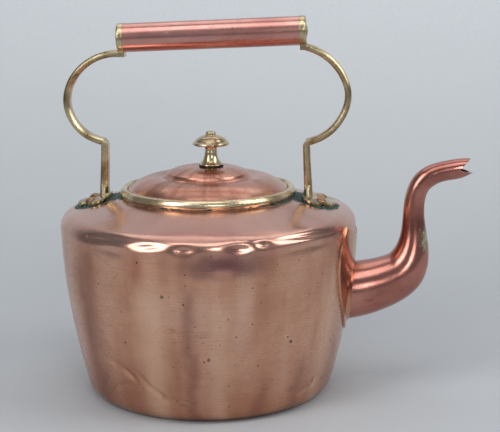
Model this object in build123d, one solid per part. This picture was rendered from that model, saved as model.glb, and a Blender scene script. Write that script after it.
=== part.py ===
from build123d import *
from math import asin, atan2, cos, degrees, hypot, radians, sin, sqrt, tan
import os

# Copper range kettle with a riveted brass bail handle and a lift-off lid. Millimetres.
# The origin is the centre of the flat base, +X points to the spout and +Z up.

# Body of sheet copper
sheet = 1.2             # thickness of the copper sheet
base_flat = 84.8        # radius of the flat part of the base
base_round = 14.0       # outer radius of the rounded corner under the wall
wall_low = 98.3         # outer radius where the rounded corner meets the wall
wall_top = 116.6        # outer radius where the wall meets the shoulder rounding
wall_top_z = 134.0      # height of that line
wall_bulge = 3.75       # how far the wall bows outward between them
shoulder_round = 12.0   # outer radius of the shoulder rounding
shoulder_rise = 0.2627  # rise of the conical shoulder per millimetre inward
lap = 9.0               # height of the pan flange lapped inside the wall
seam_gap = 0.05         # solder film left between two soldered pieces

# Mouth collar and lid
collar_outer = 69.2     # outside radius of the brass mouth collar
collar_tall = 7.4       # height of its outer face
collar_band = 6.0       # width of the ring outside the lid
ledge_wide = 5.0        # width of the ledge the lid rim lies on
throat = collar_outer - collar_band - ledge_wide    # inside radius of the throat
throat_wall = 1.7       # thickness of the throat ring
throat_deep = 10.0      # how far the throat ring hangs below the ledge
lid_fit = 0.3           # clearance round the lid and its bezel
lid_radius = collar_outer - collar_band - lid_fit   # radius of the hemmed lid rim
hem = 2.0               # thickness of the hemmed rim
ledge_above = 4.8       # height of the ledge over the foot of the collar
lid_sheet = 1.1         # thickness of the lid sheet
dome_radius = 34.6      # radius of the raised dome in the middle of the lid
ring_rise = 8.3         # height of the foot of the dome above the rim
bezel_deep = 10.0       # depth of the bezel below the rim
lid_rise = 15.9         # height of the dome top above the rim

# Knob
knob_shift = 2.8        # the knob stands this far off the lid centre, to the spout
knob_radius = 14.5
knob_tall = 24.4        # seat to the foot of the button
washer = 0.9            # thickness of the washer under the knob
rove_thick = 1.2        # thickness of the roves under lid and shoulder
stud = 2.5              # radius of the stud through the knob
fit = 0.05              # radial clearance of riveted and peened pins

# Handle
grip_radius = 11.2
grip_wall = 1.4
grip_length = 136.4     # copper tube between the end plates
grip_x = 4.4            # middle of the grip
grip_z = 282.0          # height of the grip axis at its middle
grip_rise = 2.1         # degrees, the spout end is the higher one
plate = 5.1             # thickness of the brass end plates
plate_drop = 14.5       # lower edge of the plates under the grip axis
bar_thick = 5.1         # brass bar of the brackets, in the plane of the handle
bar_wide = 10.5         # and across it
bar_edge = 1.6          # chamfer along the bar
leg_thick = 5.9         # thickness of the upright legs
leg_shift = -1.6        # legs and feet stand this far to the rear
reach = 110.1           # outermost point of the bracket arcs from the middle
elbow_x = 79.7          # where the arc turns down into the leg
elbow_z = 198.2
rod = 3.0               # radius of the tie rod inside the grip
foot_in = 76.3          # nearest and farthest point of the feet from the middle
foot_out = 102.3
foot_half = 21.0        # half width of the feet
foot_thick = 3.0
rivet = 2.5             # radius of the foot rivets
rivet_head = 4.4
rivet_x = 90.5
rivet_y = 9.0
rove = 5.2              # radius of the roves inside the body

# Spout
spout_wall = 1.2
spout_z = 80.0          # height of the spout root
spout_root = 22.6       # outside radius of the spout at the body
neck = 8.3              # outside radius of the slender neck
root_ease = 1.99        # degrees the root plane stands steeper than the wall there
flange = 1.5            # thickness of the shield-shaped saddle under the spout root
flange_low = 31.5       # lower end of the saddle below the root centre
flange_high = 59.0      # its upper corners above the root centre
flange_half = 51.0      # its half width
bell = 15.0             # width of the raised bell from the root out to the saddle
flange_bore = spout_root - spout_wall - 1.5     # hole through wall and saddle
beak_up = 44.0          # degrees, upper face of the notched beak
beak_down = -16.0       # degrees, lower face


def at(point):
    """A radius and a height as a point of the XZ plane."""
    return Vector(point[0], 0, point[1])


def outline(start, *steps):
    """A closed face in the XZ plane: one point is a line, two points an arc."""
    edges = []
    here = start
    for step in steps:
        if isinstance(step[0], tuple):
            edges.append(Edge.make_three_point_arc(at(here), at(step[0]), at(step[1])))
            here = step[1]
        else:
            edges.append(Edge.make_line(at(here), at(step)))
            here = step
    edges.append(Edge.make_line(at(here), at(start)))
    face = Face(Wire(edges))
    return face if face.normal_at().Y < 0 else -face


def turned(face):
    """A solid of revolution about the kettle axis."""
    return revolve(face, Axis.Z, 360)


def crown(radius, height):
    """Height at half the radius of a spherical cap of this base radius and height."""
    size = (radius ** 2 + height ** 2) / (2 * height)
    return height - size + sqrt(size ** 2 - radius ** 2 / 4)


def pin(where, low, high, radius):
    """A round bar along the normal of a plane, between two heights over it."""
    return where * Pos(0, 0, (low + high) / 2) * Cylinder(radius, high - low)


def save(shape, name):
    """Writes one node."""
    export_step(shape, "parts/" + name + ".step")


def wall_arc():
    """Centre and radius of the arc the outside of the wall follows."""
    low = Vector(wall_low, wall_low_z(), 0)
    high = Vector(wall_top, wall_top_z, 0)
    chord = high - low
    size = chord.length ** 2 / (8 * wall_bulge) + wall_bulge / 2
    side = Vector(chord.Y, -chord.X, 0).normalized()
    centre = (low + high) * 0.5 - side * (size - wall_bulge)
    return centre, size


def wall_low_z():
    """Height where the rounded corner of the base has turned into the wall."""
    return base_round - sqrt(base_round ** 2 - (wall_low - base_flat) ** 2)


def wall_point(height, inset):
    """Point of the wall at a height, moved inward by the inset."""
    centre, size = wall_arc()
    return centre.X + sqrt((size - inset) ** 2 - (height - centre.Y) ** 2), height


def shoulder(inset):
    """Start, middle and end of the shoulder rounding, moved inward by the inset."""
    centre, size = wall_arc()
    out = (Vector(wall_top, wall_top_z, 0) - centre).normalized()
    hub = Vector(wall_top, wall_top_z, 0) - out * shoulder_round
    start = atan2(out.Y, out.X)
    stop = radians(90) - atan2(shoulder_rise, 1)
    points = []
    for turn in (start, (start + stop) / 2, stop):
        size = shoulder_round - inset
        points.append((hub.X + size * cos(turn), hub.Y + size * sin(turn)))
    return points


def cone_z(radius, lift):
    """Height of the conical shoulder at a radius, raised by a lift along its normal."""
    end = shoulder(0)[2]
    slant = sqrt(1 + shoulder_rise ** 2)
    return end[1] + (end[0] - radius) * shoulder_rise + lift * slant


def skin(inner, outer, low_z, rim):
    """Closed profile between two insets of the wall and shoulder, up to a rim radius."""
    a = shoulder(outer)
    b = shoulder(inner)
    low_out = wall_point(low_z, outer)
    low_in = wall_point(low_z, inner)
    mid_z = (low_z + wall_top_z) / 2
    return outline(
        low_out,
        (wall_point(mid_z, outer), a[0]),
        (a[1], a[2]),
        (rim, cone_z(rim, -outer)),
        (rim, cone_z(rim, -inner)),
        b[2],
        (b[1], b[0]),
        (wall_point(mid_z, inner), low_in),
    )


def foot_planes(side):
    """Planes on the shoulder where the two rivets of one foot stand."""
    planes = []
    lean = atan2(shoulder_rise, 1)
    for across in (-rivet_y, rivet_y):
        x = side * rivet_x + leg_shift
        radius = hypot(x, across)
        z = cone_z(radius, 0)
        normal = (sin(lean) * x / radius, sin(lean) * across / radius, cos(lean))
        planes.append(Plane(origin=(x, across, z), z_dir=normal))
    return planes


def spout_stations():
    """Centre, radius and direction of the round sections along the spout axis."""
    # Distance out from the wall, height over the root, radius as a share of the root
    # down to the elbow, then as a share of the neck.
    root = wall_point(spout_z, 0)[0]
    rows = [
        (-9.0, -1.6, 1.018 * spout_root),
        (0.0, -0.2, spout_root),
        (9.6, 1.6, 0.973 * spout_root),
        (19.8, 4.3, 0.925 * spout_root),
        (29.6, 8.0, 0.876 * spout_root),
        (38.0, 12.9, 0.827 * spout_root),
        (44.4, 20.2, 0.748 * spout_root),
        (48.3, 30.6, 0.619 * spout_root),
        (49.8, 43.0, 1.313 * neck),
        (49.6, 56.4, 1.06 * neck),
        (49.7, 67.5, 0.976 * neck),
        (50.9, 76.0, 0.952 * neck),
        (53.8, 84.0, 0.964 * neck),
        (59.4, 90.2, 0.97 * neck),
        (67.2, 94.2, 0.94 * neck),
        (76.2, 96.4, 0.93 * neck),
        (86.0, 98.2, 0.90 * neck),
        (99.5, 99.4, 0.85 * neck),
    ]
    centres = [Vector(root + x, 0, spout_z + z) for x, z, r in rows]
    stations = []
    for i, row in enumerate(rows):
        before = centres[max(i - 1, 0)]
        after = centres[min(i + 1, len(rows) - 1)]
        stations.append((centres[i], row[2], (after - before).normalized()))
    return stations


def spout_body(inset):
    """The spout as a full bar, its radius reduced by the inset."""
    sections = []
    for centre, radius, along in spout_stations():
        where = Plane(origin=centre, x_dir=(0, 1, 0), z_dir=along)
        sections.append(Face(Wire(Edge.make_circle(radius - inset, where))))
    return loft(sections)


def spout_hole():
    """The bore through wall and saddle at the spout root."""
    where = Plane(origin=(wall_top - 60, 0, spout_z), z_dir=(1, 0, 0.06))
    return pin(where, 0, 90, flange_bore)


def body_shell():
    """Wall, rounding and conical shoulder in one sheet, open below and at the mouth."""
    rim = throat + throat_wall + seam_gap
    shell = turned(skin(sheet, 0, wall_low_z() + 2.0, rim))
    shell -= spout_hole()
    for side in (-1, 1):
        for where in foot_planes(side):
            shell -= pin(where, -3, 3, rivet + fit)
    return shell


def base_pan():
    """Flat base with a rounded corner and an inner flange lapped behind the wall."""
    low = wall_low_z()
    seam = low + 2.0 - seam_gap
    inner = base_round - sheet
    tuck = sheet + seam_gap
    turn = atan2(wall_low - base_flat, base_round - low) / 2
    mid_out = (base_flat + base_round * sin(turn), base_round * (1 - cos(turn)))
    mid_in = (base_flat + inner * sin(turn), base_round - inner * cos(turn))
    end_in = (base_flat + inner * sin(2 * turn), base_round - inner * cos(2 * turn))
    flange_in = wall_point(low + 1.0, tuck + sheet)
    face = outline(
        (0, 0),
        (base_flat, 0),
        (mid_out, (wall_low, low)),
        wall_point(seam, 0),
        wall_point(seam, tuck),
        wall_point(seam + lap, tuck),
        wall_point(seam + lap, tuck + sheet),
        flange_in,
        end_in,
        (mid_in, (base_flat, sheet)),
        (0, sheet),
    )
    return turned(face)


def mouth_collar():
    """Brass ring seated on the shoulder, with a throat ring and a ledge for the lid."""
    foot = cone_z(collar_outer, seam_gap)
    top = foot + collar_tall
    ledge = foot + ledge_above
    rebate = lid_radius + lid_fit
    outer = throat + throat_wall
    crown = (rebate + collar_outer) / 2
    face = outline(
        (throat, ledge - throat_deep),
        (outer, ledge - throat_deep),
        (outer, cone_z(outer, seam_gap)),
        (collar_outer - 1.4, cone_z(collar_outer - 1.4, seam_gap)),
        (collar_outer - 1.1, foot + 1.1),
        ((collar_outer, foot + 3.2), (collar_outer - 0.7, top - 1.9)),
        ((collar_outer - 1.9, top - 0.4), (crown - 0.2, top)),
        ((rebate + 0.8, top - 0.5), (rebate, top - 1.7)),
        (rebate, ledge),
        (throat, ledge),
    )
    return turned(face)


def lid_rim_z():
    """Height of the underside of the lid rim, just above the ledge."""
    return cone_z(collar_outer, seam_gap) + ledge_above + 0.1


def lid_dome():
    """Lid sheet: hemmed rim, swelling ring, valley and dome, pierced for the stud."""
    rim = lid_rim_z()
    brim = rim + hem
    top = brim + lid_rise
    foot = brim + ring_rise
    edge = lid_radius - 1.9
    under = throat - lid_fit + 0.3
    dome = dome_radius
    t = lid_sheet
    bore = stud + fit
    face = outline(
        (bore, top),
        (dome * 0.37, top),
        ((dome * 0.74, top - 1.6), (dome * 0.93, top - 4.4)),
        ((dome * 0.97, top - 6.3), (dome + 0.9, foot)),
        (((dome + 0.9 + edge) / 2, brim + 0.9 * ring_rise), (edge, brim)),
        (lid_radius - 1.0, brim),
        ((lid_radius - 0.3, brim - 0.3), (lid_radius, rim + hem / 2)),
        ((lid_radius - 0.3, rim + 0.3), (lid_radius - 1.0, rim)),
        (under + 1.3, rim),
        (under, brim + 1.0),
        (((dome + 0.7 + under) / 2, brim + 0.817 * ring_rise), (dome + 0.7, foot - t)),
        ((dome * 0.942, top - 7.4), (dome * 0.896, top - 4.8)),
        ((dome * 0.72, top - 1.6 - t), (dome * 0.37, top - t)),
        (bore, top - t),
    )
    lid = turned(face)
    lid += Pos(0, 0, top - t / 2) * Cylinder(bore + knob_shift + 1, t)
    return lid - Pos(knob_shift, 0, top) * Cylinder(bore, 8)


def lid_bezel():
    """Copper ring soldered under the lid, sliding into the throat."""
    rim = lid_rim_z()
    outer = throat - lid_fit
    top = rim + hem + 1.1
    face = outline(
        (outer - 1.0, rim - bezel_deep),
        (outer, rim - bezel_deep),
        (outer, top),
        (outer - 1.0, top),
    )
    return turned(face)


def seat_z():
    """Top of the lid where the knob washer lies."""
    return lid_rim_z() + hem + lid_rise


def knob_washer():
    """Thin round washer between knob and lid."""
    ring = Cylinder(9.6, washer) - Cylinder(stud + fit, washer)
    return Pos(knob_shift, 0, seat_z() + washer / 2) * ring


def knob():
    """Turned brass knob: beaded foot, waist and thin-edged cap with two fine steps."""
    low = seat_z() + washer
    k = knob_radius
    t = knob_tall
    bore = stud + fit
    face = outline(
        (bore, low),
        (8.8, low),
        ((9.3, low + 0.7), (8.8, low + 1.4)),
        ((6.2, low + 0.20 * t), (4.9, low + 0.44 * t)),
        ((4.95, low + 0.56 * t), (6.2, low + 0.64 * t)),
        ((0.68 * k, low + 0.67 * t), (k - 1.3, low + 0.655 * t)),
        ((k, low + 0.70 * t), (k - 0.9, low + 0.755 * t)),
        ((k - 2.0, low + 0.80 * t), (0.79 * k, low + 0.86 * t)),
        (0.76 * k, low + 0.845 * t),
        ((0.58 * k, low + 0.935 * t), (0.37 * k, low + 0.97 * t)),
        (0.35 * k, low + 0.955 * t),
        ((0.32 * k, low + 0.985 * t), (4.1, low + t)),
        (bore, low + t),
    )
    return Pos(knob_shift, 0, 0) * turned(face)


def knob_stud():
    """Pin through knob and lid: a button above the knob, upset under the rove."""
    low = seat_z() - lid_sheet - rove_thick
    top = seat_z() + washer + knob_tall
    face = outline(
        (0, low - 1.4),
        ((1.95, low - crown(3.9, 1.4)), (3.9, low)),
        (stud, low),
        (stud, top),
        (3.6, top),
        ((3.95, top + 1.0), (3.5, top + 2.1)),
        ((1.75, top + 2.1 + crown(3.5, 0.6)), (0, top + 2.7)),
    )
    return Pos(knob_shift, 0, 0) * turned(face)


def knob_rove():
    """Round rove under the lid that the stud is upset against."""
    ring = Cylinder(7.5, rove_thick) - Cylinder(stud + fit, rove_thick)
    return Pos(knob_shift, 0, seat_z() - lid_sheet - rove_thick / 2) * ring


def grip_frame():
    """Plane at the middle of the grip, its normal along the grip towards the spout."""
    tilt = radians(grip_rise)
    along = (cos(tilt), 0, sin(tilt))
    return Plane(origin=(grip_x, 0, grip_z), x_dir=(0, 1, 0), z_dir=along)


def grip_tube():
    """Copper tube grip between the end plates."""
    where = grip_frame()
    half = grip_length / 2
    return pin(where, -half, half, grip_radius) - pin(where, -half, half, grip_radius - grip_wall)


def grip_tie_rod():
    """Rod along the grip, upset over both end plates."""
    half = grip_length / 2 + plate
    face = outline(
        (0, -half - 1.3),
        ((2.3, -half - crown(4.6, 1.3)), (4.6, -half)),
        (rod, -half),
        (rod, half),
        (4.6, half),
        ((2.3, half + crown(4.6, 1.3)), (0, half + 1.3)),
    )
    return grip_frame() * turned(face)


def end_plate(side):
    """Round end plate with a tab below, where the bar of the bracket grows out."""
    half = grip_length / 2
    inner = side * (half + 0.03)
    outer = side * (half + plate)
    r = grip_radius + 0.25
    face = outline(
        (0, inner),
        (r, inner),
        (r, outer - side * 1.6),
        ((r - 0.5, outer - side * 0.5), (r - 1.8, outer)),
        (0, outer),
    )
    disc = turned(face)
    tab = Pos(0, 0, (inner + outer) / 2) * Box(bar_wide, 2 * plate_drop, abs(outer - inner))
    keep = Pos(0, down_sign() * plate_drop / 2, 0) * Box(bar_wide, plate_drop, 4 * grip_length)
    return grip_frame() * (disc + (tab & keep))


def down_sign():
    """Sign of the local Y of the grip plane that points to the ground."""
    return -1 if grip_frame().y_dir.Z > 0 else 1


def bar_line(side):
    """Points along the middle of the bracket arc, elbow to end plate."""
    frame = grip_frame()
    half = grip_length / 2 + plate
    hang = plate_drop - bar_thick / 2
    end = frame.origin + frame.z_dir * (side * (half - 2.0)) - Vector(0, 0, hang)
    shape = [
        (0.0, 0.0),
        (0.30, 0.041),
        (0.61, 0.125),
        (0.84, 0.247),
        (0.967, 0.371),
        (1.0, 0.505),
        (0.90, 0.662),
        (0.70, 0.795),
        (0.44, 0.895),
        (0.15, 0.962),
    ]
    tall = end.Z - elbow_z
    points = []
    for out, up in shape:
        x = elbow_x + (reach - elbow_x) * out
        stray = leg_shift * max(0.0, 1 - 2 * up)
        points.append(Vector(side * x + stray, 0, elbow_z + tall * up))
    points.append(end)
    return points


def bar_arc(side):
    """The bowed part of the bracket bar."""
    line = Edge.make_spline(bar_line(side))
    upper = []
    lower = []
    count = 24
    for i in range(count + 1):
        where = line @ (i / count)
        along = line % (i / count)
        across = Vector(-along.Z, 0, along.X) * (bar_thick / 2)
        upper.append(where + across)
        lower.append(where - across)
    edges = [
        Edge.make_spline(upper),
        Edge.make_line(upper[-1], lower[-1]),
        Edge.make_spline(list(reversed(lower))),
        Edge.make_line(lower[0], upper[0]),
    ]
    bar = extrude(Face(Wire(edges)), amount=bar_wide / 2, dir=(0, 1, 0), both=True)
    long_edges = [e for e in bar.edges() if e.length > 4 * bar_wide]
    return chamfer(long_edges, bar_edge)


def bar_leg(side):
    """The upright part of the bracket bar, its elbow cut off and its foot spread."""
    foot_x = elbow_x + 1.2
    foot_z = cone_z(foot_x, 0) - 2
    t = leg_thick / 2
    points = [
        (side * (elbow_x - t), elbow_z - 1.8),
        (side * (elbow_x - t + 2.0), elbow_z + 1.2),
        (side * (elbow_x + t - 0.6), elbow_z + 1.2),
        (side * (elbow_x + t), elbow_z - 14),
        (side * (foot_x + t + 0.8), foot_z),
        (side * (foot_x - t), foot_z),
    ]
    face = outline(points[0], *points[1:])
    leg = extrude(face, amount=bar_wide / 2, dir=(0, 1, 0), both=True)
    long_edges = [e for e in leg.edges() if e.length > 1.2 * bar_wide]
    leg = chamfer(long_edges, bar_edge)
    half = bar_wide / 2
    corners = [(-half - 4, foot_z), (-half, foot_z + 14), (half, foot_z + 14), (half + 4, foot_z)]
    ring = Wire.make_polygon([Vector(0, y, z) for y, z in corners])
    spread = extrude(Face(ring), amount=t - bar_edge, dir=(1, 0, 0), both=True)
    leg += Pos(side * foot_x, 0, 0) * spread
    return Pos(leg_shift, 0, 0) * leg


def foot(side):
    """Scalloped foot plate bent to the shoulder."""
    long = foot_out - foot_in
    w = foot_half
    half = [
        (0.0, 0.0),
        (0.02, 0.50),
        (0.10, 0.86),
        (0.28, 1.0),
        (0.48, 0.97),
        (0.60, 0.78),
        (0.68, 0.56),
        (0.77, 0.55),
        (0.88, 0.52),
        (0.97, 0.28),
        (1.0, 0.0),
    ]
    points = [(side * (foot_in + long * x) + leg_shift, w * y) for x, y in half]
    points += [(x, -y) for x, y in reversed(points[1:-1])]
    ring = Edge.make_spline([Vector(x, y, 0) for x, y in points], periodic=True)
    blank = Pos(0, 0, cone_z(foot_out, 0) - 20) * extrude(Face(Wire([ring])), amount=60, dir=(0, 0, 1))
    band = turned(outline(
        (foot_in - 8, cone_z(foot_in - 8, seam_gap)),
        (foot_out + 4, cone_z(foot_out + 4, seam_gap)),
        (foot_out + 4, cone_z(foot_out + 4, foot_thick)),
        (foot_in - 8, cone_z(foot_in - 8, foot_thick)),
    ))
    return blank & band


def bracket(side):
    """One cast brass bracket: end plate, arc, leg and foot, drilled for rod and rivets."""
    leg = bar_leg(side)
    under = turned(outline(
        (foot_in - 20, cone_z(foot_in - 20, seam_gap)),
        (foot_out + 4, cone_z(foot_out + 4, seam_gap)),
        (foot_out + 4, cone_z(foot_out + 4, -30)),
        (foot_in - 20, cone_z(foot_in - 20, -30)),
    ))
    pad = foot(side)
    for where in foot_planes(side):
        pad -= pin(where, -2, foot_thick + 8, rivet + fit)
    whole = bar_arc(side) + (leg - under)
    whole += pad
    grip = grip_frame()
    half = grip_length / 2
    whole -= pin(grip, -half, half, grip_radius + 0.3)
    whole += end_plate(side)
    return whole - pin(grip, -half - plate - 2, half + plate + 2, rod + fit)


def foot_rivet(where):
    """Copper rivet with a domed head on the foot, upset on the rove inside."""
    low = -sheet - rove_thick - 0.06
    top = foot_thick + 0.05
    h = rivet_head
    face = outline(
        (0, low - 1.5),
        ((1.8, low - crown(3.6, 1.5)), (3.6, low)),
        (rivet, low),
        (rivet, top),
        (h, top),
        ((h / 2, top + crown(h, 2.1)), (0, top + 2.1)),
    )
    return where * turned(face)


def rivet_rove(where):
    """Round rove inside the shoulder under one rivet."""
    high = -sheet - 0.05
    return pin(where, high - rove_thick, high, rove) - pin(where, -9, 3, rivet + fit)


def root_plane(lift):
    """Plane the spout root is cut to, leaning with the wall, moved out by a lift."""
    centre, size = wall_arc()
    lean = asin((centre.Y - spout_z) / size) - radians(root_ease)
    normal = Vector(cos(lean), 0, -sin(lean))
    origin = Vector(wall_point(spout_z, 0)[0] + seam_gap + flange, 0, spout_z)
    return Plane(origin=origin + normal * lift, x_dir=(0, 1, 0), z_dir=normal)


def saddle_blank():
    """Shield outline of the saddle seen along the spout, as a bar through it."""
    w = flange_half
    low = flange_low
    high = flange_high
    half = [
        (0.0, -low),
        (0.22 * w, -0.90 * low),
        (0.46 * w, -0.62 * low),
        (0.70 * w, -0.18 * low),
        (0.88 * w, 0.16 * high),
        (0.98 * w, 0.40 * high),
        (1.00 * w, 0.60 * high),
        (0.95 * w, 0.80 * high),
        (0.79 * w, high),
    ]
    side = Edge.make_spline([Vector(0, y, z) for y, z in half])
    other = Edge.make_spline([Vector(0, -y, z) for y, z in half])
    corner = half[-1]
    brow = Edge.make_three_point_arc(
        Vector(0, corner[0], corner[1]),
        Vector(0, 0, 0.80 * high),
        Vector(0, -corner[0], corner[1]),
    )
    ring = Wire([side, brow, other])
    return Pos(40, 0, spout_z) * extrude(Face(ring), amount=120, dir=(1, 0, 0))


def spout_flange():
    """Copper saddle bent to the wall, drawn up into a bell around the spout root."""
    low = spout_z - flange_low - 4
    band = turned(skin(-seam_gap, -seam_gap - flange, low, throat + 20))
    rise = turned(outline(
        (flange_bore - 2, -20),
        (spout_root + bell + 3, -20),
        (spout_root + bell + 3, -11),
        (spout_root + bell, -9.6),
        ((spout_root + 0.36 * bell, -3.6), (spout_root + 0.6, 0)),
        (flange_bore - 2, 0),
    ))
    inside = turned(outline(
        (0, spout_z - 50),
        wall_point(spout_z - 50, -seam_gap),
        (wall_point(spout_z, -seam_gap), wall_point(spout_z + 50, -seam_gap)),
        (0, spout_z + 50),
    ))
    saddle = (band & saddle_blank()) + (root_plane(0) * rise - inside)
    return saddle - spout_hole()


def spout_tube():
    """Swan-neck spout of tapering sheet with a notched beak, butted on the saddle."""
    tube = spout_body(0) - spout_body(spout_wall)
    tube -= root_plane(0.03) * Pos(0, 0, -30) * Box(90, 90, 60)
    end = spout_stations()[-2][0]
    tip = end - Vector(2.2, 0, 0.8)
    far = 60
    up = radians(beak_up)
    down = radians(beak_down)
    wedge = outline(
        (tip.X, tip.Z),
        (tip.X + far * cos(down), tip.Z + far * sin(down)),
        (tip.X + far * cos(up), tip.Z + far * sin(up)),
    )
    tube -= extrude(wedge, amount=40, dir=(0, 1, 0), both=True)
    return max(tube.solids(), key=lambda s: s.volume)


os.makedirs("parts", exist_ok=True)
save(body_shell(), "body_shell")
save(base_pan(), "base_pan")
save(mouth_collar(), "mouth_collar")
save(spout_flange(), "spout_flange")
save(spout_tube(), "spout_tube")
save(lid_dome(), "lid_dome")
save(lid_bezel(), "lid_bezel")
save(knob(), "knob")
save(knob_washer(), "knob_washer")
save(knob_stud(), "knob_stud")
save(knob_rove(), "knob_rove")
save(grip_tube(), "grip_tube")
save(grip_tie_rod(), "grip_tie_rod")
for side, end in ((1, "front"), (-1, "rear")):
    save(bracket(side), "handle_bracket_" + end)
    for where, hand in zip(foot_planes(side), ("right", "left")):
        save(foot_rivet(where), "foot_rivet_" + end + "_" + hand)
        save(rivet_rove(where), "rivet_rove_" + end + "_" + hand)
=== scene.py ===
import bpy
import math
import numpy as np
from mathutils import Matrix, Vector


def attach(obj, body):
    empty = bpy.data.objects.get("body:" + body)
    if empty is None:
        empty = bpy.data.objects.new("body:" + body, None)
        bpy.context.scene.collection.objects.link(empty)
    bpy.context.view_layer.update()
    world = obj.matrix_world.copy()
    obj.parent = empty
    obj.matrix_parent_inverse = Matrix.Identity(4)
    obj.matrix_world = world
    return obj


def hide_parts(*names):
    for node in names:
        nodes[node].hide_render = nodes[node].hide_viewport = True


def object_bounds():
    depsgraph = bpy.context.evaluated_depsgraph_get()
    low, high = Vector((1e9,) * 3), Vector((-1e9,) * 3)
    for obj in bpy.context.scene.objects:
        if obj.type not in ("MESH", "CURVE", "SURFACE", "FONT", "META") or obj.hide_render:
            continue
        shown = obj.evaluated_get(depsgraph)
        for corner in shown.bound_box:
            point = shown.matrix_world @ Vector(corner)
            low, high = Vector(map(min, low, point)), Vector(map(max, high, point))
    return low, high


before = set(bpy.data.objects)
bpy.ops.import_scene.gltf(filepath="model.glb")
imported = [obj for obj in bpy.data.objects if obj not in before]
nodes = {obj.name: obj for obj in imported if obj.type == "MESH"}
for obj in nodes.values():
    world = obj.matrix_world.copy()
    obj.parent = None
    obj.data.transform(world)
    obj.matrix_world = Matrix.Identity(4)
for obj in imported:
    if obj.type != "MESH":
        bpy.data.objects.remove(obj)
cad_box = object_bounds()
mm = 0.001


# Body of the kettle: one sheet of copper, raised from the wall over the rounded shoulder
# to the mouth. The coppersmith hammered it over a stake and polished it round and round,
# and years of knocks have dented the shoulder line and the foot of the wall.

wall_low, wall_low_z = 98.3, 10.29      # radius and height where the wall starts
wall_top, wall_top_z = 116.6, 134.0     # and where it meets the shoulder rounding
wall_bulge = 3.75
shoulder_round = 12.0
shoulder_slope = math.atan(0.2627)
sheet = 1.2
seam = 2.0                              # the wall starts this far above the rounded corner
mouth_radius = 59.95
mean_radius = 112.0                     # for lengths measured round the wall
spout_bore, spout_z = 19.9, 80.0


def clear_selection():
    """Leaves nothing selected, so an operator acts only on what comes next."""
    if bpy.context.object and bpy.context.object.mode != "OBJECT":
        bpy.ops.object.mode_set(mode="OBJECT")
    bpy.ops.object.select_all(action="DESELECT")


def turned_shell(name, rings, steps):
    """A closed shell raised ring by ring from a circle through (radius, height) points."""
    clear_selection()
    radius, height = rings[0]
    bpy.ops.mesh.primitive_circle_add(vertices=steps, radius=radius * mm, location=(0, 0, 0))
    shell = bpy.context.active_object
    shell.name = name
    bpy.ops.object.mode_set(mode="EDIT")
    bpy.ops.mesh.select_all(action="SELECT")
    bpy.ops.transform.translate(value=(0, 0, height * mm))
    for wider, higher in rings[1:] + rings[:1]:
        bpy.ops.mesh.extrude_region_move(TRANSFORM_OT_translate={"value": (0, 0, (higher - height) * mm)})
        bpy.ops.transform.resize(value=(wider / radius, wider / radius, 1), center_override=(0, 0, 0))
        radius, height = wider, higher
    bpy.ops.mesh.select_all(action="SELECT")
    bpy.ops.mesh.remove_doubles(threshold=0.00001)
    bpy.ops.mesh.normals_make_consistent(inside=False)
    bpy.ops.object.mode_set(mode="OBJECT")
    bpy.ops.object.transform_apply(location=True, rotation=True, scale=True)
    return shell


def body_rings():
    """Rings of the outer skin from the seam up to the mouth, then back down inside."""
    chord = Vector((wall_top - wall_low, wall_top_z - wall_low_z))
    size = chord.length ** 2 / (8 * wall_bulge) + wall_bulge / 2
    side = Vector((chord.y, -chord.x)).normalized()
    centre = Vector(((wall_low + wall_top) / 2, (wall_low_z + wall_top_z) / 2)) - side * (size - wall_bulge)
    out = (Vector((wall_top, wall_top_z)) - centre).normalized()
    hub = Vector((wall_top, wall_top_z)) - out * shoulder_round
    start, stop = math.atan2(out.y, out.x), math.pi / 2 - shoulder_slope

    def skin(inset, gaps):
        coarse, fine, bend, close, open_ = gaps
        foot = wall_low_z + seam
        heights = [foot + (116 - foot) * i / coarse for i in range(coarse)]
        heights += [116 + (wall_top_z - 116) * i / fine for i in range(fine)]
        rings = [(centre.x + math.sqrt((size - inset) ** 2 - (z - centre.y) ** 2), z) for z in heights]
        round_ = shoulder_round - inset
        for i in range(bend + 1):
            angle = start + (stop - start) * i / bend
            rings.append((hub.x + round_ * math.cos(angle), hub.y + round_ * math.sin(angle)))
        edge = rings[-1]
        radii = [edge[0] - 12 * i / close for i in range(1, close + 1)]
        radii += [edge[0] - 12 + (mouth_radius - edge[0] + 12) * i / open_ for i in range(1, open_ + 1)]
        rings += [(r, edge[1] + (edge[0] - r) * math.tan(shoulder_slope)) for r in radii]
        return rings

    outer = skin(0, (72, 16, 16, 10, 12))
    inner = skin(sheet, (12, 4, 6, 4, 6))
    return outer + inner[::-1], hub


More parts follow.
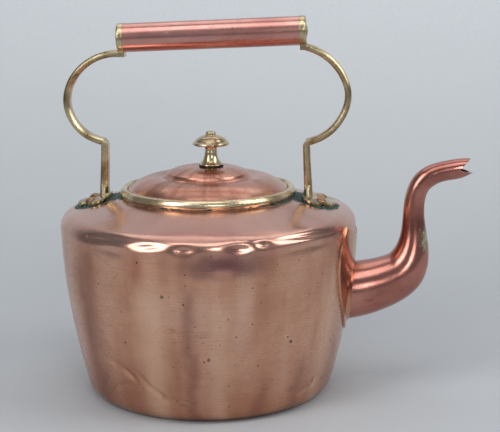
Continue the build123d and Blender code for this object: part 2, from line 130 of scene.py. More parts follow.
def press(shell, hub, dents):
    """Presses dents into the shell: azimuth, place along the profile, two sizes, depth, slant."""
    mesh = shell.data
    flat = np.empty(len(mesh.vertices) * 3)
    mesh.vertices.foreach_get("co", flat)
    points = flat.reshape(-1, 3) / mm
    radius = np.hypot(points[:, 0], points[:, 1])
    turn = np.arctan2(points[:, 1], points[:, 0])
    along = np.where(points[:, 2] < wall_top_z, points[:, 2], points[:, 2] + wall_top - radius)
    lean = np.clip((radius - hub.x) / shoulder_round, math.sin(shoulder_slope), 1.0)
    lean = np.where(points[:, 2] < hub.y, 1.0, lean)
    rise = np.sqrt(1 - lean ** 2)
    depth = 0.10 + 0.05 * np.sin(9 * turn + 1.3) * np.sin(along / 19)
    depth += 0.05 * np.sin(23 * turn + along / 11)
    for azimuth, place, wide, tall, deep, slant in dents:
        across = (turn - math.radians(azimuth) + math.pi) % (2 * math.pi) - math.pi
        across = across * mean_radius
        up = along - place
        c, s = math.cos(math.radians(slant)), math.sin(math.radians(slant))
        depth += deep * np.exp(-((across * c + up * s) / wide) ** 2 - ((up * c - across * s) / tall) ** 2)
    off_saddle = np.clip((np.abs(turn) - math.radians(27)) / math.radians(5), 0, 1)
    low = np.clip((points[:, 2] - wall_low_z - seam) / 5, 0, 1)
    by_foot = np.clip(1 - np.abs(np.abs(points[:, 0]) - 90) / 20, 0, 1)
    by_foot *= (np.abs(points[:, 1]) < 30) * (points[:, 2] > 140)
    off_collar = np.clip((radius - 74) / 8, 0, 1)
    depth = depth * off_saddle * low * off_collar * (1 - 0.8 * by_foot)
    points[:, 0] -= depth * lean * np.cos(turn)
    points[:, 1] -= depth * lean * np.sin(turn)
    points[:, 2] -= depth * rise
    mesh.vertices.foreach_set("co", (points * mm).ravel())
    mesh.update()


rings, hub = body_rings()
body = turned_shell("body_skin", rings, 400)
knocks = [
    (-80.0, 126.0, 24, 8.0, 1.9, 0),        # broad hollow under the shoulder line
    (-92.6, 137.5, 7, 4.0, 2.2, 0),         # two knocks on the line itself
    (-73.0, 138.0, 9, 4.5, 2.1, 0),
    (-64.0, 141.0, 5, 3.0, 1.6, 0),
    (-106.0, 139.5, 10, 2.6, 1.3, 8),
    (-126.0, 141.0, 20, 2.6, 1.5, 7),       # folds left and right of them
    (-121.0, 133.0, 15, 4.0, 0.8, -5),
    (-42.0, 143.0, 26, 2.4, 1.4, -3),
    (-45.0, 133.0, 22, 3.2, 1.0, 2),
    (-24.0, 138.0, 9, 5.0, 0.8, 30),
    (-90.0, 150.0, 36, 7.0, 0.9, 0),        # flattened shoulder above
    (-60.0, 152.0, 20, 6.0, 0.6, 0),
    (-126.0, 43.0, 6, 2.2, 1.5, -20),       # wrinkles at the lower left
    (-119.0, 37.0, 8, 2.2, 2.2, -38),
    (-112.0, 33.0, 7, 2.0, 1.8, -50),
    (-124.0, 26.0, 9, 2.4, 1.8, 24),
    (-133.0, 28.0, 6, 2.4, 1.3, 50),
    (-105.0, 22.5, 8, 2.2, 2.0, -40),
    (-96.0, 18.0, 9, 2.2, 1.9, -14),
    (-40.0, 16.0, 7, 2.2, 1.6, 25),         # and at the lower right
    (-33.0, 20.5, 7, 2.0, 1.8, 50),
    (-46.0, 20.0, 5, 2.2, 1.2, -30),
    (-97.0, 60.0, 9, 50, 0.90, 3),          # long upright hollows of the hammered wall
    (-56.0, 40.0, 9, 40, 0.60, -3),
    (-33.0, 70.0, 9, 60, 0.35, 0),
    (60.0, 137.0, 14, 5, 1.6, 0),           # older knocks at the back and side
    (84.0, 131.0, 18, 8, 1.1, 6),
    (120.0, 140.0, 16, 4, 1.2, -5),
    (150.0, 60.0, 14, 16, 1.0, 20),
    (100.0, 28.0, 12, 5, 0.9, -15),
    (175.0, 134.0, 12, 6, 1.0, 0),
    (40.0, 45.0, 16, 10, 0.7, 0),
]
press(body, hub, knocks)
clear_selection()
bpy.ops.mesh.primitive_cylinder_add(vertices=96, radius=spout_bore * mm, depth=0.06,
                                    location=(0.115, 0, spout_z * mm), rotation=(0, math.pi / 2 - 0.06, 0))
cutter = bpy.context.active_object
clear_selection()
body.select_set(True)
bpy.context.view_layer.objects.active = body
cut = body.modifiers.new("spout hole", "BOOLEAN")
cut.operation = "DIFFERENCE"
cut.solver = "EXACT"
cut.object = cutter
bpy.ops.object.modifier_apply(modifier=cut.name)
bpy.data.objects.remove(cutter)
bpy.ops.object.shade_smooth_by_angle(angle=math.radians(40))


def linear(code):
    """An sRGB hex colour as linear values."""
    channels = [int(code[i:i + 2], 16) / 255 for i in (1, 3, 5)]
    return [c / 12.92 if c <= 0.04045 else ((c + 0.055) / 1.055) ** 2.4 for c in channels] + [1.0]


def add(tree, kind, inputs=None, **settings):
    """Adds one shader node, sets it up and links it."""
    node = tree.nodes.new("ShaderNode" + kind)
    for name, value in settings.items():
        if name == "stops":
            ramp = node.color_ramp
            while len(ramp.elements) < len(value):
                ramp.elements.new(0.5)
            for element, (place, colour) in zip(ramp.elements, value):
                element.position = place
                element.color = linear(colour) if isinstance(colour, str) else (colour, colour, colour, 1)
        else:
            setattr(node, name, value)
    for name, value in (inputs or {}).items():
        socket = node.inputs[name]
        if isinstance(value, bpy.types.NodeSocket):
            tree.links.new(value, socket)
        else:
            socket.default_value = value
    return node


def finish(name, metallic=1.0):
    """A new material with an empty shader, as (material, tree, shader)."""
    material = bpy.data.materials.new(name)
    material.use_nodes = True
    tree = material.node_tree
    shader = tree.nodes["Principled BSDF"]
    shader.inputs["Metallic"].default_value = metallic
    return material, tree, shader


def mix(tree, share, first, second, kind="MIX"):
    """Mixes two colours by a share."""
    node = add(tree, "Mix", data_type="RGBA", blend_type=kind)
    for socket, value in ((0, share), (6, first), (7, second)):
        if isinstance(value, bpy.types.NodeSocket):
            tree.links.new(value, node.inputs[socket])
        elif isinstance(value, str):
            node.inputs[socket].default_value = linear(value)
        else:
            node.inputs[socket].default_value = value
    return node.outputs[2]


def calc(tree, operation, first, second=0.0, clamp=False):
    """One sum on one or two values."""
    return add(tree, "Math", {0: first, 1: second}, operation=operation, use_clamp=clamp).outputs[0]


def near(tree, value, close, far):
    """1 below the close value, falling to 0 at the far one."""
    return add(tree, "MapRange", {0: value, 1: close, 2: far, 3: 1.0, 4: 0.0},
               interpolation_type="SMOOTHSTEP").outputs[0]


def span(tree, value, low, high, first=0.0, last=1.0):
    """A value stretched from one range to another and held there."""
    return add(tree, "MapRange", {0: value, 1: low, 2: high, 3: first, 4: last}).outputs[0]


def ramp(tree, value, *stops):
    """The colour that a value picks between stops of (place, colour)."""
    return add(tree, "ValToRGB", {0: value}, stops=stops).outputs[0]


def noise(tree, place, scale, detail=3.0, rough=0.5, bend=0.0):
    """Soft noise of so many lumps per metre."""
    return add(tree, "TexNoise", {"Vector": place, "Scale": scale, "Detail": detail, "Roughness": rough,
                                  "Distortion": bend}).outputs[0]


arc_radius = 0.11       # metres, turns an angle into a length round the kettle


def around(tree):
    """Object position, its parts, arc length round the kettle, and distance from the axis."""
    place = add(tree, "TexCoord").outputs["Object"]
    parts = add(tree, "SeparateXYZ", {0: place})
    turn = add(tree, "Math", {0: parts.outputs["Y"], 1: parts.outputs["X"]}, operation="ARCTAN2").outputs[0]
    flat = add(tree, "CombineXYZ", {"X": parts.outputs["X"], "Y": parts.outputs["Y"]})
    far = add(tree, "VectorMath", {0: flat.outputs[0]}, operation="LENGTH").outputs["Value"]
    arc = calc(tree, "MULTIPLY", turn, arc_radius)
    return place, parts, arc, far


def pits(tree, place, scale, share, size, flat="3D"):
    """Scattered black pits with ragged edges: how many cells per metre, how few, how big."""
    ragged = add(tree, "TexNoise", {"Vector": place, "Scale": 900.0, "Detail": 2.0})
    shaken = add(tree, "VectorMath", {0: ragged.outputs["Color"], 1: (0.0012, 0.0012, 0.0012)},
                 operation="MULTIPLY").outputs[0]
    moved = add(tree, "VectorMath", {0: place, 1: shaken}, operation="ADD").outputs[0]
    cells = add(tree, "TexVoronoi", {"Vector": moved, "Scale": scale, "Randomness": 1.0},
                voronoi_dimensions=flat)
    pick = add(tree, "SeparateColor", {0: cells.outputs["Color"]})
    bigness = calc(tree, "MULTIPLY", calc(tree, "POWER", pick.outputs[0], share), size * scale)
    bigness = calc(tree, "ADD", bigness, 0.0001)
    return near(tree, calc(tree, "DIVIDE", cells.outputs["Distance"], bigness), 0.7, 1.1)


def scratches(tree, place, angle, scale, thin, share):
    """Fine scratches that all run one way, kept only in a few places."""
    lines = add(tree, "Mapping", {0: place, 2: (angle, angle * 1.7, angle * 0.6),
                                  3: (9.0, scale, scale)}).outputs[0]
    line = noise(tree, lines, 1.0, 1.0)
    scratch = near(tree, calc(tree, "ABSOLUTE", calc(tree, "SUBTRACT", line, 0.5)), 0.0, thin)
    where = near(tree, noise(tree, place, 38.0, 1.0), share - 0.04, share + 0.03)
    return calc(tree, "MULTIPLY", scratch, where)


def tin_inside(tree, place, colour, wear, metal):
    """Worn grey tin on faces that look to the middle of the kettle."""
    facing = add(tree, "NewGeometry").outputs["Normal"]
    from_middle = add(tree, "VectorMath", {0: place, 1: (0.0, 0.0, 0.08)}, operation="SUBTRACT").outputs[0]
    towards = add(tree, "VectorMath", {0: facing, 1: from_middle}, operation="DOT_PRODUCT").outputs["Value"]
    inside = near(tree, towards, -0.004, -0.002)
    cloud = noise(tree, place, 45.0, 5.0, 0.6, 0.5)
    tin = ramp(tree, cloud, (0.35, "#5F554D"), (0.5, "#8C8780"), (0.7, "#A9A59E"))
    return (mix(tree, inside, colour, tin), add(tree, "Mix", {0: inside, 2: wear, 3: 0.5}).outputs[0],
            calc(tree, "SUBTRACT", metal, calc(tree, "MULTIPLY", inside, 0.25)))


def aged_copper(name, light, mid, dark, rough=0.25, brushed="turned", spots=1.0, special=None,
                tinned=False):
    """Copper polished long ago and handled since: salmon where rubbed, brown where dull.

    Fine brush lines run round the kettle and draw reflections out upright. Tarnish lies in
    soft clouds of 20 to 60 mm, pits are 0.3 to 1.5 mm, and a few hairline scratches cross them."""
    material, tree, shader = finish(name)
    place, parts, arc, far = around(tree)
    if brushed == "turned":
        along = add(tree, "CombineXYZ", {"X": calc(tree, "MULTIPLY", arc, 26.0),
                                         "Y": calc(tree, "MULTIPLY", parts.outputs["Z"], 1100.0),
                                         "Z": calc(tree, "MULTIPLY", far, 1100.0)}).outputs[0]
        bands = add(tree, "CombineXYZ", {"X": calc(tree, "MULTIPLY", arc, 46.0),
                                         "Y": calc(tree, "MULTIPLY", parts.outputs["Z"], 5.0)}).outputs[0]
        unrolled = calc(tree, "SUBTRACT", parts.outputs["Z"], far)
        skin = add(tree, "CombineXYZ", {"X": arc, "Y": unrolled}).outputs[0]
        spot = calc(tree, "MAXIMUM", pits(tree, skin, 62.0, 9.0, 0.0014 * spots, "2D"),
                    pits(tree, skin, 170.0, 12.0, 0.0008 * spots, "2D"))
    else:
        spot = calc(tree, "MAXIMUM", pits(tree, place, 90.0, 4.0, 0.0014 * spots),
                    pits(tree, place, 200.0, 6.0, 0.0007 * spots))
        along = add(tree, "Mapping", {0: place, 3: (60.0, 900.0, 60.0)}).outputs[0]
        bands = add(tree, "Mapping", {0: place, 3: (8.0, 40.0, 8.0)}).outputs[0]
    brush = noise(tree, along, 1.0, 4.0)
    band = noise(tree, bands, 1.0, 2.0)
    cloud = noise(tree, place, 17.0, 4.0, 0.5, 0.4)
    mottle = noise(tree, place, 130.0, 6.0, 0.62)
    age = calc(tree, "ADD", calc(tree, "MULTIPLY", cloud, 0.5), calc(tree, "MULTIPLY", band, 0.5))
    colour = ramp(tree, age, (0.34, dark), (0.50, mid), (0.66, light))
    colour = mix(tree, 0.45, colour, ramp(tree, mottle, (0.30, 0.80), (0.62, 1.0)), "MULTIPLY")
    colour = mix(tree, 0.5, colour, ramp(tree, brush, (0.3, 0.84), (0.7, 1.0)), "MULTIPLY")
    wear = calc(tree, "ADD", span(tree, age, 0.34, 0.66, rough + 0.06, rough - 0.03),
                calc(tree, "MULTIPLY", calc(tree, "SUBTRACT", brush, 0.5), 0.10))
    colour = mix(tree, calc(tree, "MULTIPLY", spot, 0.9), colour, "#1A1311")
    hairline = calc(tree, "MAXIMUM", scratches(tree, place, 0.5, 210.0, 0.010, 0.40),
                    scratches(tree, place, 1.3, 240.0, 0.009, 0.38))
    colour = mix(tree, calc(tree, "MULTIPLY", hairline, 0.45), colour, "#6A4636")
    metal = calc(tree, "SUBTRACT", 1.0, calc(tree, "MULTIPLY", spot, 0.8))
    bumps = calc(tree, "ADD", calc(tree, "MULTIPLY", brush, 0.12), calc(tree, "MULTIPLY", mottle, 0.10))
    bumps = calc(tree, "SUBTRACT", bumps, calc(tree, "ADD", calc(tree, "MULTIPLY", spot, 0.9),
                                               calc(tree, "MULTIPLY", hairline, 0.35)))
    if special:
        colour, wear, metal, bumps = special(tree, place, parts, arc, far, colour, wear, metal, bumps)
    if tinned:
        colour, wear, metal = tin_inside(tree, place, colour, wear, metal)
    relief = add(tree, "Bump", {"Height": bumps, "Strength": 0.12, "Distance": 0.0005}).outputs[0]
    tree.links.new(colour, shader.inputs["Base Color"])
    tree.links.new(wear, shader.inputs["Roughness"])
    tree.links.new(metal, shader.inputs["Metallic"])
    tree.links.new(relief, shader.inputs["Normal"])
    if brushed == "turned":
        shader.inputs["Anisotropic"].default_value = 0.5
        shader.inputs["Anisotropic Rotation"].default_value = 0.25
        tangent = add(tree, "Tangent", direction_type="RADIAL", axis="Z").outputs[0]
        tree.links.new(tangent, shader.inputs["Tangent"])
    return material


def crust_of(tree, place, growth, colour, wear, metal, bumps):
    """Verdigris where the growth is strong: nearly black teal with pale green crumbs."""
    crumbs = noise(tree, place, 420.0, 5.0, 0.65)
    edge = noise(tree, place, 150.0, 5.0, 0.6)
    ragged = calc(tree, "MULTIPLY", calc(tree, "SUBTRACT", edge, 0.5), 1.3)
    share = span(tree, calc(tree, "ADD", growth, ragged), 0.42, 0.62)
    tone = ramp(tree, crumbs, (0.40, "#141C1A"), (0.54, "#263F39"), (0.68, "#86A38E"))
    colour = mix(tree, share, colour, tone)
    wear = add(tree, "Mix", {0: share, 2: wear, 3: 0.75}).outputs[0]
    metal = calc(tree, "MULTIPLY", metal, calc(tree, "SUBTRACT", 1.0, share))
    bumps = calc(tree, "ADD", bumps, calc(tree, "MULTIPLY", calc(tree, "MULTIPLY", share, crumbs), 3.0))
    return colour, wear, metal, bumps


def foot_distance(tree, parts):
    """Distance from the middle of the nearer handle foot, seen from above."""
    side = calc(tree, "ABSOLUTE", calc(tree, "ADD", parts.outputs["X"], 0.0016))
    foot = add(tree, "CombineXYZ", {"X": calc(tree, "SUBTRACT", side, 0.087),
                                    "Y": calc(tree, "MULTIPLY", parts.outputs["Y"], 0.72)}).outputs[0]
    return add(tree, "VectorMath", {0: foot}, operation="LENGTH").outputs["Value"]


# dull is the dark tone and rubbed the light tone of the painted reflection bands
dull, rubbed = "#8C5A50", "#EFC5A8"
painted_reflection_bands = [         # painted reflections, light and dark upright bands of the wall: azimuth, half width, top, strength, tone
    (-91, 0.010, 0.122, 0.55, dull),
    (-139, 0.022, 0.130, 0.55, dull),
    (-44, 0.012, 0.060, 0.45, dull),
    (-62, 0.010, 0.045, 0.35, dull),
    (70, 0.016, 0.130, 0.40, dull),
    (160, 0.020, 0.120, 0.40, dull),
    (-107, 0.018, 0.125, 0.60, rubbed),
    (-79, 0.012, 0.110, 0.45, rubbed),
    (-30, 0.016, 0.125, 0.50, rubbed),
    (110, 0.018, 0.125, 0.45, rubbed),
]


def body_age(tree, place, parts, arc, far, colour, wear, metal, bumps):
    """Verdigris round feet and collar, a pinker shoulder and a darker foot as painted reflection and shade,
    a purple stain and upright bands of painted reflection.
    """
    # Painted reflection: the shoulder is coloured pinker, and made a little glossier, than the wall below
    high = span(tree, parts.outputs["Z"], 0.128, 0.146)
    colour = mix(tree, calc(tree, "MULTIPLY", high, 0.7), colour, "#CDA096")
    wear = calc(tree, "SUBTRACT", wear, calc(tree, "MULTIPLY", high, 0.07))
    stain = add(tree, "CombineXYZ", {"X": calc(tree, "MULTIPLY", calc(tree, "ADD", arc, 0.150), 0.32),
                                     "Y": calc(tree, "SUBTRACT", parts.outputs["Z"], 0.1255)}).outputs[0]
    stain = add(tree, "VectorMath", {0: stain}, operation="LENGTH").outputs["Value"]
    wander = calc(tree, "SUBTRACT", noise(tree, place, 60.0), 0.5)
    stain = calc(tree, "ADD", stain, calc(tree, "MULTIPLY", wander, 0.010))
    colour = mix(tree, calc(tree, "MULTIPLY", near(tree, stain, 0.000, 0.0150), 0.85), colour, "#704A52")
    # Painted shade: the lowest 60 mm of the wall and the base darken and turn more orange towards the floor
    foot = calc(tree, "MULTIPLY", near(tree, parts.outputs["Z"], 0.0, 0.06), 0.5)
    colour = mix(tree, foot, colour, "#AC7358")
    stray = calc(tree, "MULTIPLY", calc(tree, "SUBTRACT", noise(tree, place, 30.0, 4.0), 0.5), 0.020)
    drift = calc(tree, "ADD", arc, stray)
    # Painted reflections: light and dark upright bands at the listed azimuths
    for azimuth, wide, top, share, tone in painted_reflection_bands:
        off = calc(tree, "SUBTRACT", drift, math.radians(azimuth) * arc_radius)
        off = calc(tree, "ABSOLUTE", off)
        reflection_band = calc(tree, "MULTIPLY", near(tree, off, 0.0, wide),
                      near(tree, parts.outputs["Z"], top - 0.03, top))
        colour = mix(tree, calc(tree, "MULTIPLY", reflection_band, share), colour, tone)
    by_foot = near(tree, foot_distance(tree, parts), 0.0145, 0.0225)
    by_ring = calc(tree, "MULTIPLY", near(tree, far, 0.0698, 0.0722),
                   calc(tree, "MULTIPLY", span(tree, calc(tree, "ABSOLUTE", arc), 0.10, 0.06), 0.75))
    by_ring = calc(tree, "MAXIMUM", by_ring, calc(tree, "MULTIPLY", near(tree, far, 0.0692, 0.0706), 0.45))
    gap = calc(tree, "MULTIPLY", near(tree, far, 0.074, 0.086),
               near(tree, calc(tree, "ABSOLUTE", parts.outputs["Y"]), 0.006, 0.040))
    growth = calc(tree, "MAXIMUM", calc(tree, "MAXIMUM", by_foot, by_ring), gap)
    growth = calc(tree, "MULTIPLY", growth, span(tree, parts.outputs["Z"], 0.140, 0.147))
    return crust_of(tree, place, growth, colour, wear, metal, bumps)


def spout_age(tree, place, parts, arc, far, colour, wear, metal, bumps):
    """A pale green drip on the neck and a beak gone browner."""
    drip = add(tree, "VectorMath", {0: place, 1: (0.1745, -0.0085, 0.124)}, operation="SUBTRACT").outputs[0]
    drip = add(tree, "VectorMath", {0: drip, 1: (1.0, 1.0, 0.7)}, operation="MULTIPLY").outputs[0]
    drip = add(tree, "VectorMath", {0: drip}, operation="LENGTH").outputs["Value"]
    ragged = calc(tree, "SUBTRACT", noise(tree, place, 300.0, 5.0, 0.65), 0.5)
    drip = calc(tree, "ADD", drip, calc(tree, "MULTIPLY", ragged, 0.020))
    colour = mix(tree, calc(tree, "MULTIPLY", near(tree, drip, 0.004, 0.0095), 0.75), colour, "#A9C49A")
    metal = calc(tree, "SUBTRACT", metal, calc(tree, "MULTIPLY", near(tree, drip, 0.004, 0.0095), 0.5))
    beak = span(tree, parts.outputs["X"], 0.196, 0.214)
    colour = mix(tree, calc(tree, "MULTIPLY", beak, 0.35), colour, "#7A4B40")
    return colour, wear, metal, bumps


def dress(names, material):
    """Gives one material to pieces of the frame."""
    for name in names:
        nodes[name].data.materials.clear()
        nodes[name].data.materials.append(material)


# Salmon copper with pale and brown upright bands of painted reflection, and a soft shine drawn upright.
body_copper = aged_copper("aged polished copper of the body", "#EABCA4", "#DCA68B", "#BC826A",
                          rough=0.27, special=body_age, tinned=True)
body.data.materials.append(body_copper)
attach(body, "kettle")
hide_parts("body_shell")


# Base pan: the flat bottom with its rounded corner, a second sheet soldered inside the
# wall. It is the same copper as the body, with painted shade darkening it towards the floor.

dress(["base_pan"], body_copper)


# Spout: a tapering tube of copper, drawn and bent over lead, brazed to a shield-shaped
# saddle on the wall. It is redder than the body and kept its polish.

# Red copper with sharper highlights that follow the bend of the tube.
spout_copper = aged_copper("red polished copper of the spout", "#DDA090", "#C28476", "#955B52",
                           rough=0.20, brushed="drawn", spots=0.7, special=spout_age)
# A slightly more orange sheet, which sets the saddle off from the wall.
saddle_copper = aged_copper("orange polished copper of the saddle", "#E2AA88", "#D09574", "#A86F54",
                            rough=0.20, spots=0.6)
dress(["spout_tube"], spout_copper)
dress(["spout_flange"], saddle_copper)


# Lid: a raised copper lid with a dome, its rim hemmed and a bezel soldered underneath. It is
# browner than the body.

# Pink-brown copper, rough enough to blur the rings of the lid.
lid_copper = aged_copper("brown polished copper of the lid", "#DDA996", "#C9907C", "#9C6655",
                         rough=0.25, spots=0.7, tinned=True)
dress(["lid_dome", "lid_bezel"], lid_copper)


# Grip: a thin copper tube over the tie rod, polished by hands, with the copper rivets of
# the handle feet and their roves inside.

# Mauve-pink copper with long soft stripes of light along the tube.
grip_copper = aged_copper("hand polished copper of the grip", "#E3ACA2", "#D2968B", "#A86C64",
                          rough=0.25, brushed="drawn", spots=0.5)
dress(["grip_tube", "knob_rove"], grip_copper)
# Dull copper, nearly as brown as the brass round it.
rivet_copper = aged_copper("rubbed copper of the rivets", "#C9A27C", "#A98162", "#6E4E3A",
                           rough=0.30, brushed="drawn")
for end in ("front", "rear"):
    for hand in ("right", "left"):
        dress(["foot_rivet_" + end + "_" + hand, "rivet_rove_" + end + "_" + hand], rivet_copper)


# Brass parts: the two cast handle brackets, the rolled mouth collar and the turned knob.
# All are dull gold where they are handled and brown in the corners.

def dull_brass(name, light, mid, dark, rough=0.24, special=None, edge=0.6):
    """Brass with dull gold high spots, brown hollows, worn round edges and small pits."""
    material, tree, shader = finish(name)
    place, parts, arc, far = around(tree)
    cloud = noise(tree, place, 55.0, 5.0, 0.5, 0.4)
    mottle = noise(tree, place, 330.0, 5.0, 0.6)
    colour = ramp(tree, cloud, (0.30, dark), (0.43, mid), (0.60, light))
    colour = mix(tree, 0.25, colour, ramp(tree, mottle, (0.34, 0.72), (0.58, 1.0)), "MULTIPLY")
    spot = pits(tree, place, 190.0, 6.0, 0.0006)
    colour = mix(tree, calc(tree, "MULTIPLY", spot, 0.8), colour, "#2A2118")
    wear = span(tree, mottle, 0.3, 0.7, rough + 0.05, rough - 0.03)
    metal = calc(tree, "SUBTRACT", 1.0, calc(tree, "MULTIPLY", spot, 0.6))
    bumps = calc(tree, "SUBTRACT", calc(tree, "MULTIPLY", mottle, 0.6), spot)
    if special:
        colour, wear, metal, bumps = special(tree, place, parts, arc, far, colour, wear, metal, bumps)
    soft = add(tree, "Bevel", {"Radius": edge * mm}, samples=4).outputs[0]
    relief = add(tree, "Bump", {"Height": bumps, "Strength": 0.06, "Distance": 0.0005,
                                "Normal": soft}).outputs[0]
    tree.links.new(colour, shader.inputs["Base Color"])
    tree.links.new(wear, shader.inputs["Roughness"])
    tree.links.new(metal, shader.inputs["Metallic"])
    tree.links.new(relief, shader.inputs["Normal"])
    return material


def foot_age(tree, place, parts, arc, far, colour, wear, metal, bumps):
    """Verdigris that climbs the edge of the feet and the bottom of the legs."""
    low = near(tree, parts.outputs["Z"], 0.1475, 0.1535)
    rim = span(tree, foot_distance(tree, parts), 0.006, 0.015)
    growth = calc(tree, "MULTIPLY", low, calc(tree, "ADD", 0.45, calc(tree, "MULTIPLY", rim, 0.35)))
    on_leg = near(tree, parts.outputs["Z"], 0.158, 0.168)
    inner = calc(tree, "MULTIPLY", near(tree, far, 0.078, 0.082), on_leg)
    growth = calc(tree, "MAXIMUM", growth, calc(tree, "MULTIPLY", inner, 0.6))
    return crust_of(tree, place, growth, colour, wear, metal, bumps)


def collar_age(tree, place, parts, arc, far, colour, wear, metal, bumps):
    """Verdigris along the foot of the collar, thickest beside the handle feet."""
    low = near(tree, parts.outputs["Z"], 0.1565, 0.1585)
    side = near(tree, calc(tree, "ABSOLUTE", parts.outputs["Y"]), 0.010, 0.040)
    behind = near(tree, parts.outputs["Z"], 0.1590, 0.1625)
    outside = span(tree, far, 0.0655, 0.0672)
    behind = calc(tree, "MULTIPLY", behind, calc(tree, "MULTIPLY", side, 0.75))
    growth = calc(tree, "MAXIMUM", calc(tree, "MULTIPLY", low, 0.55), behind)
    return crust_of(tree, place, calc(tree, "MULTIPLY", growth, outside), colour, wear, metal, bumps)


# Greyish gold with brown patches, its edges worn round and its feet crusted with verdigris.
handle_brass = dull_brass("dull cast brass of the handle", "#D0BF98", "#AB946D", "#665338",
                          special=foot_age, edge=2.0)
# Paler rolled brass with a bright upper edge and a green line at its foot.
collar_brass = dull_brass("rolled brass of the mouth collar", "#E4D2AF", "#CCB48C", "#8A7050", rough=0.24,
                          special=collar_age)
# Pale turned brass that catches small bright points.
knob_brass = dull_brass("turned brass of the knob", "#E0D2B4", "#C4B08C", "#7A664C", rough=0.23)
dress(["handle_bracket_front", "handle_bracket_rear", "grip_tie_rod"], handle_brass)
dress(["mouth_collar"], collar_brass)
dress(["knob", "knob_stud"], knob_brass)


# Washer under the knob: a thin sheet coloured nearly black, with a little green at its edge.

def nearly_black_sheet():
    """Nearly black sheet with a grainy, faintly green bloom."""
    material, tree, shader = finish("black tarnish of the washer", 0.5)
    place = add(tree, "TexCoord").outputs["Object"]
    grime = noise(tree, place, 500.0, 5.0, 0.6)
    tone = ramp(tree, grime, (0.35, "#0E0E0D"), (0.55, "#22241F"), (0.72, "#4B5A4C"))
    tree.links.new(tone, shader.inputs["Base Color"])
    tree.links.new(span(tree, grime, 0.3, 0.7, 0.45, 0.8), shader.inputs["Roughness"])
    relief = add(tree, "Bump", {"Height": grime, "Strength": 0.4, "Distance": 0.0003}).outputs[0]
    tree.links.new(relief, shader.inputs["Normal"])
    return material


dress(["knob_washer"], nearly_black_sheet())


# Studio: a sweep of pale blue-grey paper, two tall softboxes left and right, one over the
# camera, a window behind it, a wide softbox high behind the kettle, and a weak even sky.

turn = math.radians(4.5)                # the studio is turned this far about the kettle
paper_back, cove = 0.7, 0.42            # where the paper rises and how round, in metres


def paper():
    """Matt pale blue-grey paper with faint fibres, clear when seen from behind."""
    material, tree, shader = finish("pale blue-grey paper", 0.0)
    place = add(tree, "TexCoord").outputs["Object"]
    fibre = noise(tree, place, 260.0, 5.0, 0.6)
    tone = ramp(tree, fibre, (0.3, "#CDD1D4"), (0.7, "#D2D6D9"))
    height = add(tree, "SeparateXYZ", {0: place}).outputs["Z"]
    # Painted shade: the paper is a darker grey on the floor, lightening over the first 0.3 m up the sweep
    tone = mix(tree, span(tree, height, 0.0, 0.30, 1.0, 0.0), tone, "#B4B7BA")
    tree.links.new(tone, shader.inputs["Base Color"])
    shader.inputs["Roughness"].default_value = 0.9
    shader.inputs["Specular IOR Level"].default_value = 0.2
    behind = add(tree, "NewGeometry").outputs["Backfacing"]
    clear = add(tree, "BsdfTransparent").outputs[0]
    both = add(tree, "MixShader", {0: behind, 1: shader.outputs[0], 2: clear}).outputs[0]
    tree.links.new(both, tree.nodes["Material Output"].inputs["Surface"])
    return material


clear_selection()
bpy.ops.mesh.primitive_plane_add(size=8.0, location=(0, paper_back - 4.0, cad_box[0][2] - 0.0002))
sweep = bpy.context.active_object
sweep.name = "paper_sweep"
bpy.ops.object.transform_apply(location=True, rotation=True, scale=True)
bpy.ops.object.mode_set(mode="EDIT")
bpy.ops.mesh.select_mode(type="EDGE")
bpy.ops.mesh.select_all(action="DESELECT")
bpy.ops.object.mode_set(mode="OBJECT")
for edge in sweep.data.edges:
    edge.select = all(sweep.data.vertices[i].co.y > 0.5 for i in edge.vertices)
bpy.ops.object.mode_set(mode="EDIT")
bpy.ops.mesh.extrude_region_move(TRANSFORM_OT_translate={"value": (0, 0.4, 3.2)})
bpy.ops.mesh.select_all(action="DESELECT")
bpy.ops.object.mode_set(mode="OBJECT")
for edge in sweep.data.edges:
    ends = [sweep.data.vertices[i].co for i in edge.vertices]
    edge.select = all(abs(end.y - paper_back) < 0.01 and end.z < 0.1 for end in ends)
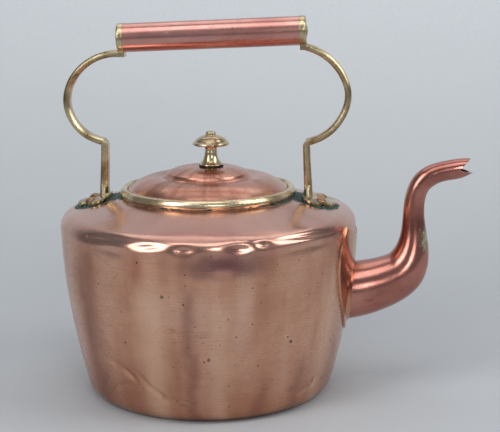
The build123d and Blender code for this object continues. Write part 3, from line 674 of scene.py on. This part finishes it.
bpy.ops.object.mode_set(mode="EDIT")
bpy.ops.mesh.bevel(offset=cove, segments=28)
bpy.ops.object.mode_set(mode="OBJECT")
sweep.data.transform(Matrix.Rotation(turn, 4, "Z"))
bpy.ops.object.shade_smooth()
sweep.data.materials.append(paper())

world = bpy.data.worlds.new("studio")
bpy.context.scene.world = world
world.use_nodes = True
world.node_tree.nodes["Background"].inputs[0].default_value = (0.72, 0.79, 0.88, 1)
world.node_tree.nodes["Background"].inputs[1].default_value = 0.26


def softbox(name, azimuth, rise, away, size, power):
    """A large rectangular area light at an azimuth and height angle, aimed at the kettle."""
    a, e = math.radians(azimuth), math.radians(rise)
    place = Vector((math.cos(a) * math.cos(e), math.sin(a) * math.cos(e), math.sin(e))) * away
    bpy.ops.object.light_add(type="AREA", location=place)
    lamp = bpy.context.active_object
    lamp.name = name
    lamp.data.shape = "RECTANGLE"
    lamp.data.size, lamp.data.size_y = size
    lamp.data.energy = power
    lamp.rotation_euler = (Vector((0, 0, 0.12)) - place).to_track_quat("-Z", "Y").to_euler()


softbox("left softbox", -132, 34, 1.7, (0.60, 1.2), 11)
softbox("right softbox", -14, 40, 1.7, (0.8, 1.1), 9.5)
softbox("softbox over the camera", -88, 70, 1.5, (0.9, 0.7), 4.2)
softbox("window behind the camera", -73, 24, 2.0, (0.50, 0.45), 6)
softbox("high softbox behind", 88, 70, 1.5, (1.6, 0.8), 4.6)

height, distance, aside = 0.343, 1.0, 0.033
pitch, roll = 0.2018, 0.0087
spot = Matrix.Rotation(turn, 4, "Z") @ Vector((aside, -distance, height))
bpy.ops.object.camera_add()
camera = bpy.context.active_object
camera.matrix_world = (Matrix.Translation(spot) @ Matrix.Rotation(turn, 4, "Z")
                       @ Matrix.Rotation(math.pi / 2 - pitch, 4, "X") @ Matrix.Rotation(-roll, 4, "Z"))
camera.data.sensor_fit = "HORIZONTAL"
camera.data.sensor_width = 36.0
camera.data.lens = 92.47
bpy.context.scene.camera = camera
bpy.context.scene.view_settings.view_transform = "Standard"
